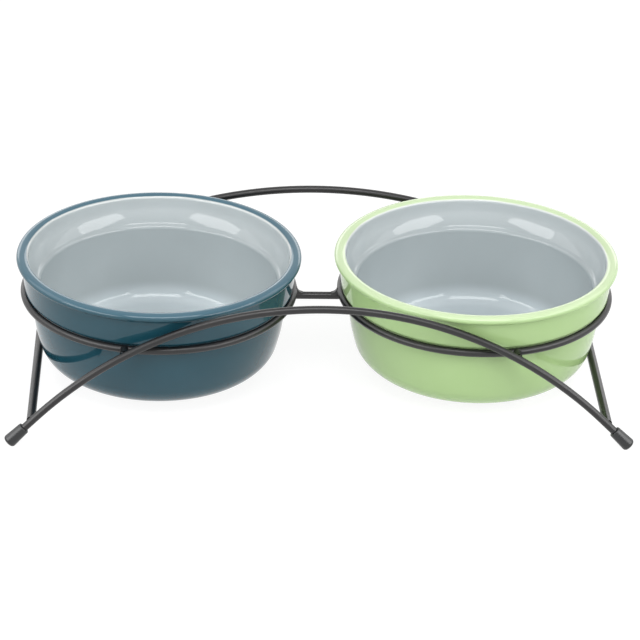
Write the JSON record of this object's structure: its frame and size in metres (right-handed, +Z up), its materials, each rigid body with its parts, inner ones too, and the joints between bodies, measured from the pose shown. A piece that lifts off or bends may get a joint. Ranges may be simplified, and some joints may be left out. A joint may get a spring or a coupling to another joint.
{
  "type": "double pet bowl",
  "caption": "Two glazed ceramic feeding bowls hung in the rings of a low arched wire stand with rubber-capped feet.",
  "frame": {"origin": "on the floor, under the middle of the stand", "axes": "+X along the row of bowls to the green one, +Y to the rear, +Z up"},
  "size_m": [0.2794, 0.1554, 0.0637],
  "materials": {
    "wire": "dark grey powder coat, satin",
    "cap_rubber": "black rubber, satin",
    "blue_glaze": "petrol blue glaze outside, pale grey glaze inside, glossy",
    "green_glaze": "apple green glaze outside, pale grey glaze inside, glossy"
  },
  "bodies": {
    "stand": {"front_arch": "wire", "rear_arch": "wire", "left_ring": "wire", "right_ring": "wire", "centre_bar": "wire", "left_side_bar": "wire", "right_side_bar": "wire", "front_left_stub": "wire", "front_right_stub": "wire", "rear_left_stub": "wire", "rear_right_stub": "wire", "front_left_foot_cap": "cap_rubber", "front_right_foot_cap": "cap_rubber", "rear_left_foot_cap": "cap_rubber", "rear_right_foot_cap": "cap_rubber"},
    "left_bowl": {"left_bowl": "blue_glaze"},
    "right_bowl": {"right_bowl": "green_glaze"}
  },
  "joints": [
    {"name": "left_bowl_lift", "type": "slide", "parent": "stand", "child": "left_bowl", "axis": [0, 0, 1], "range_m": [0, 0.065]},
    {"name": "right_bowl_lift", "type": "slide", "parent": "stand", "child": "right_bowl", "axis": [0, 0, 1], "range_m": [0, 0.065]}
  ]
}
